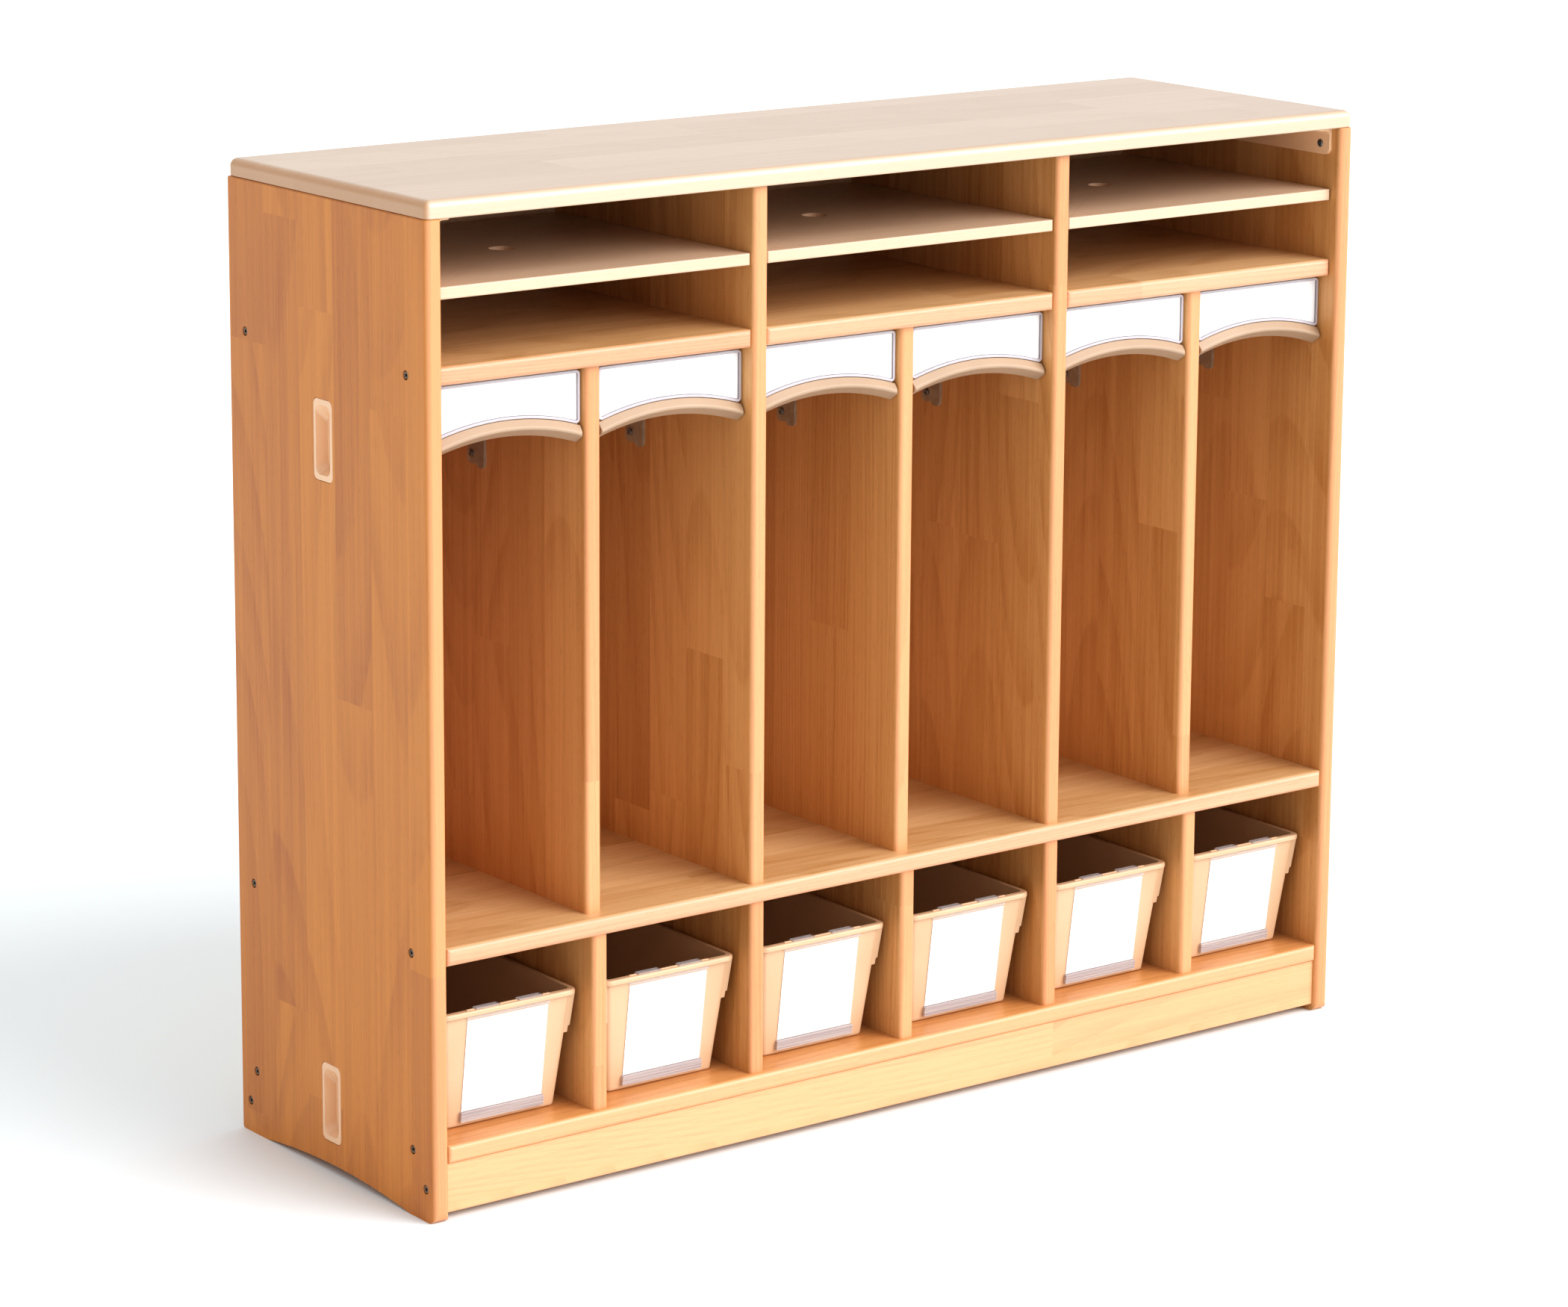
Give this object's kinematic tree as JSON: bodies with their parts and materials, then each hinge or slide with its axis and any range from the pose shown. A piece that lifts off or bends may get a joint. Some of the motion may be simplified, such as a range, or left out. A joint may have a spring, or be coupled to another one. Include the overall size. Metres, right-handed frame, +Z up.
{
  "type": "children's cubby locker",
  "caption": "Free-standing wooden coat locker for small children, with open shelves over tall places that have hooks and name panels, and slide-out bins below.",
  "frame": {"origin": "middle of the footprint, on the floor", "axes": "+X along the width, -Y out of the open front, +Z up"},
  "size_m": [1.22, 0.375, 1.04],
  "materials": {
    "wood_upright": "satin clear lacquer over edge-glued honey maple, grain upright",
    "wood_shelf": "satin clear lacquer over edge-glued honey maple, grain along the board",
    "wood_top": "satin clear lacquer over pale edge-glued maple, grain along the top",
    "back_ply": "satin clear lacquer over maple plywood",
    "pale_ply": "satin clear lacquer over pale maple",
    "cream_plastic": "moulded, fine matt",
    "bin_plastic": "moulded, satin",
    "clear_plastic": "clear moulded sheet",
    "white_card": "blank white card",
    "hook_plastic": "frosted clear moulding",
    "bracket_plastic": "moulded, satin",
    "cup_plastic": "moulded, satin",
    "screw_steel": "dark zinc",
    "pin_steel": "bright zinc"
  },
  "bodies": {
    "cabinet": {"left_side_panel": "wood_upright", "right_side_panel": "wood_upright", "top_panel": "wood_top", "main_shelf": "wood_shelf", "bottom_shelf": "wood_shelf", "front_plinth": "wood_shelf", "rear_plinth": "wood_shelf", "back_panel": "back_ply", "divider_1": "wood_upright", "divider_2": "wood_upright", "half_divider_1": "wood_upright", "half_divider_2": "wood_upright", "half_divider_3": "wood_upright", "bin_divider_1": "wood_upright", "bin_divider_2": "wood_upright", "bin_divider_3": "wood_upright", "bin_divider_4": "wood_upright", "bin_divider_5": "wood_upright", "coat_shelf_1": "wood_shelf", "coat_shelf_2": "wood_shelf", "coat_shelf_3": "wood_shelf", "name_rail_1": "cream_plastic", "name_rail_2": "cream_plastic", "name_rail_3": "cream_plastic", "name_rail_4": "cream_plastic", "name_rail_5": "cream_plastic", "name_rail_6": "cream_plastic", "name_windows": "clear_plastic", "name_cards": "white_card", "coat_hooks": "hook_plastic", "fitting_screws": "screw_steel", "top_bracket_left": "bracket_plastic", "top_bracket_right": "bracket_plastic", "top_bracket_screws": "screw_steel", "side_screws": "screw_steel", "back_panel_screws": "screw_steel", "link_cups": "cup_plastic", "shelf_pins": "pin_steel"},
    "loose_shelf_1": {"upper_shelf_1": "pale_ply"},
    "loose_shelf_2": {"upper_shelf_2": "pale_ply"},
    "loose_shelf_3": {"upper_shelf_3": "pale_ply"},
    "bin_unit_1": {"bin_1": "bin_plastic", "bin_label_holder_1": "clear_plastic", "bin_card_1": "white_card"},
    "bin_unit_2": {"bin_2": "bin_plastic", "bin_label_holder_2": "clear_plastic", "bin_card_2": "white_card"},
    "bin_unit_3": {"bin_3": "bin_plastic", "bin_label_holder_3": "clear_plastic", "bin_card_3": "white_card"},
    "bin_unit_4": {"bin_4": "bin_plastic", "bin_label_holder_4": "clear_plastic", "bin_card_4": "white_card"},
    "bin_unit_5": {"bin_5": "bin_plastic", "bin_label_holder_5": "clear_plastic", "bin_card_5": "white_card"},
    "bin_unit_6": {"bin_6": "bin_plastic", "bin_label_holder_6": "clear_plastic", "bin_card_6": "white_card"}
  },
  "joints": [
    {"name": "shelf_1_slide", "type": "slide", "parent": "cabinet", "child": "loose_shelf_1", "axis": [0, -1, 0], "range_m": [0, 0.3]},
    {"name": "shelf_2_slide", "type": "slide", "parent": "cabinet", "child": "loose_shelf_2", "axis": [0, -1, 0], "range_m": [0, 0.3]},
    {"name": "shelf_3_slide", "type": "slide", "parent": "cabinet", "child": "loose_shelf_3", "axis": [0, -1, 0], "range_m": [0, 0.3]},
    {"name": "bin_1_slide", "type": "slide", "parent": "cabinet", "child": "bin_unit_1", "axis": [0, -1, 0], "range_m": [0, 0.3]},
    {"name": "bin_2_slide", "type": "slide", "parent": "cabinet", "child": "bin_unit_2", "axis": [0, -1, 0], "range_m": [0, 0.3]},
    {"name": "bin_3_slide", "type": "slide", "parent": "cabinet", "child": "bin_unit_3", "axis": [0, -1, 0], "range_m": [0, 0.3]},
    {"name": "bin_4_slide", "type": "slide", "parent": "cabinet", "child": "bin_unit_4", "axis": [0, -1, 0], "range_m": [0, 0.3]},
    {"name": "bin_5_slide", "type": "slide", "parent": "cabinet", "child": "bin_unit_5", "axis": [0, -1, 0], "range_m": [0, 0.3]},
    {"name": "bin_6_slide", "type": "slide", "parent": "cabinet", "child": "bin_unit_6", "axis": [0, -1, 0], "range_m": [0, 0.3]}
  ]
}
